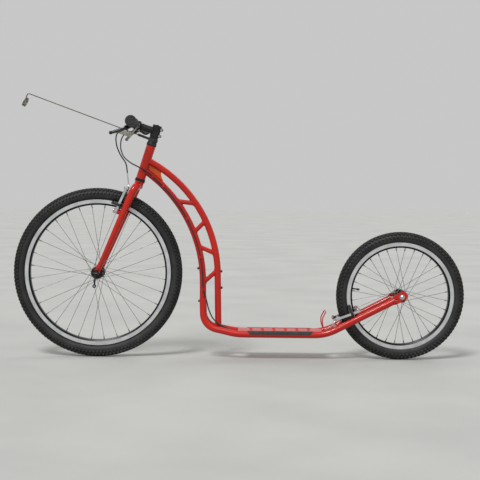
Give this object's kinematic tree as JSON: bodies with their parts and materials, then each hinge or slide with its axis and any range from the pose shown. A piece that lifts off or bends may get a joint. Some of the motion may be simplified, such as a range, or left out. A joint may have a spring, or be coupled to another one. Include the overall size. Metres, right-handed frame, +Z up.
{
  "type": "kick scooter",
  "caption": "Big-wheel kick scooter with a curved double-tube frame, low deck, spoked wheels, rim brakes and a front guide wire for a dog's towing line.",
  "frame": {"origin": "on the ground, midway between the outer edges of the two tyres, in the centre plane", "axes": "+Z up, -X the way it rolls, -Y its left side"},
  "size_m": [1.762, 0.6008, 1.0248],
  "materials": {
    "frame_paint": "deep orange-red gloss paint",
    "grip_tape": "black abrasive tape",
    "black_steel": "black plugged steel boss",
    "black_alloy": "black anodised, satin",
    "bright_steel": "bright steel",
    "cable_housing": "black satin sheath",
    "black_plastic": "black moulding",
    "grip_rubber": "soft black rubber",
    "lever_black": "black anodised",
    "bell_chrome": "polished",
    "polished_alloy": "polished",
    "pad_rubber": "moulded black rubber",
    "tyre_rubber": "black rubber",
    "rim_alloy": "machined brake track, black web"
  },
  "bodies": {
    "frame": {"head_tube": "frame_paint", "down_tube": "frame_paint", "upper_tube": "frame_paint", "truss_braces": "frame_paint", "head_gusset": "frame_paint", "deck_rails": "frame_paint", "rear_dropouts": "frame_paint", "cross_tubes": "frame_paint", "deck_plate": "frame_paint", "grip_strips": "grip_tape", "cable_clips": "frame_paint", "frame_bosses": "black_steel", "heel_guard": "frame_paint", "headset_cups": "black_alloy", "rear_axle": "bright_steel", "rear_brake_studs": "frame_paint", "rear_cable_housing": "cable_housing", "rear_cable_loop": "cable_housing"},
    "steering": {"steerer": "bright_steel", "fork_crown": "frame_paint", "fork_blades": "frame_paint", "fork_dropouts": "frame_paint", "front_brake_studs": "frame_paint", "headset_spacers": "black_alloy", "guide_clamp": "black_plastic", "guide_wire": "bright_steel", "stem": "black_alloy", "stem_faceplate": "black_alloy", "stem_bolts": "bright_steel", "top_cap": "black_alloy", "handlebar": "black_alloy", "grips": "grip_rubber", "lever_brackets": "black_alloy", "bell": "bell_chrome", "front_axle": "bright_steel", "front_skewer": "black_alloy", "front_cable_housing": "cable_housing"},
    "front_wheel": {"front_tyre": "tyre_rubber", "front_rim": "rim_alloy", "front_spokes": "bright_steel", "front_hub": "black_alloy"},
    "rear_wheel": {"rear_tyre": "tyre_rubber", "rear_rim": "rim_alloy", "rear_spokes": "bright_steel", "rear_hub": "black_alloy"},
    "left_lever": {"brake_lever_left": "lever_black"},
    "right_lever": {"brake_lever_right": "lever_black"},
    "front_left_arm": {"front_arm_left": "polished_alloy", "front_pad_left": "pad_rubber"},
    "front_right_arm": {"front_arm_right": "polished_alloy", "front_pad_right": "pad_rubber", "front_noodle": "polished_alloy"},
    "rear_left_arm": {"rear_arm_left": "polished_alloy", "rear_pad_left": "pad_rubber", "rear_noodle": "polished_alloy"},
    "rear_right_arm": {"rear_arm_right": "polished_alloy", "rear_pad_right": "pad_rubber"},
    "release_lever": {"quick_release_lever": "bright_steel"},
    "striker": {"bell_striker": "bell_chrome"}
  },
  "joints": [
    {"name": "steering", "type": "hinge", "parent": "frame", "child": "steering", "pos_m": [-0.38706, 0, 0.69732], "axis": [0.3024, 0, 0.9532], "range_deg": [-75, 75], "deforming": ["rear_cable_loop"]},
    {"name": "front_wheel_spin", "type": "hinge", "parent": "steering", "child": "front_wheel", "pos_m": [-0.551, 0, 0.33], "axis": [0, -1, 0], "continuous": true},
    {"name": "rear_wheel_spin", "type": "hinge", "parent": "frame", "child": "rear_wheel", "pos_m": [0.631, 0, 0.25], "axis": [0, -1, 0], "continuous": true},
    {"name": "left_brake_lever", "type": "hinge", "parent": "steering", "child": "left_lever", "pos_m": [-0.42594, -0.14647, 0.88767], "axis": [-0.4848, -0.0081, 0.8746], "range_deg": [0, 20], "stiffness_Nm_per_rad": 0.6},
    {"name": "right_brake_lever", "type": "hinge", "parent": "steering", "child": "right_lever", "pos_m": [-0.42594, 0.14647, 0.88767], "axis": [0.4848, -0.0081, -0.8746], "range_deg": [0, 20], "stiffness_Nm_per_rad": 0.6},
    {"name": "front_left_brake_arm", "type": "hinge", "parent": "steering", "child": "front_left_arm", "pos_m": [-0.47748, -0.041, 0.57048], "axis": [-0.9164, 0, 0.4003], "range_deg": [0, 3.5]},
    {"name": "front_right_brake_arm", "type": "hinge", "parent": "steering", "child": "front_right_arm", "pos_m": [-0.47748, 0.041, 0.57048], "axis": [0.9164, 0, -0.4003], "range_deg": [0, 3.5], "deforming": ["front_cable_housing"]},
    {"name": "rear_left_brake_arm", "type": "hinge", "parent": "frame", "child": "rear_left_arm", "pos_m": [0.46504, -0.045, 0.1922], "axis": [0.3665, 0, -0.9304], "range_deg": [0, 3.5], "deforming": ["rear_cable_housing"]},
    {"name": "rear_right_brake_arm", "type": "hinge", "parent": "frame", "child": "rear_right_arm", "pos_m": [0.46504, 0.045, 0.1922], "axis": [-0.3665, 0, 0.9304], "range_deg": [0, 3.5]},
    {"name": "quick_release", "type": "hinge", "parent": "steering", "child": "release_lever", "pos_m": [-0.551, -0.0738, 0.33], "axis": [-1, 0, 0], "range_deg": [0, 110]},
    {"name": "bell_strike", "type": "hinge", "parent": "steering", "child": "striker", "pos_m": [-0.43467, -0.046, 0.88245], "axis": [0, 1, 0], "range_deg": [0, 25], "stiffness_Nm_per_rad": 0.01}
  ],
  "couplings": [
    {"joint": "front_left_brake_arm", "follows": "left_brake_lever", "ratio": 0.17},
    {"joint": "front_right_brake_arm", "follows": "left_brake_lever", "ratio": 0.17},
    {"joint": "rear_left_brake_arm", "follows": "right_brake_lever", "ratio": 0.17},
    {"joint": "rear_right_brake_arm", "follows": "right_brake_lever", "ratio": 0.17}
  ]
}
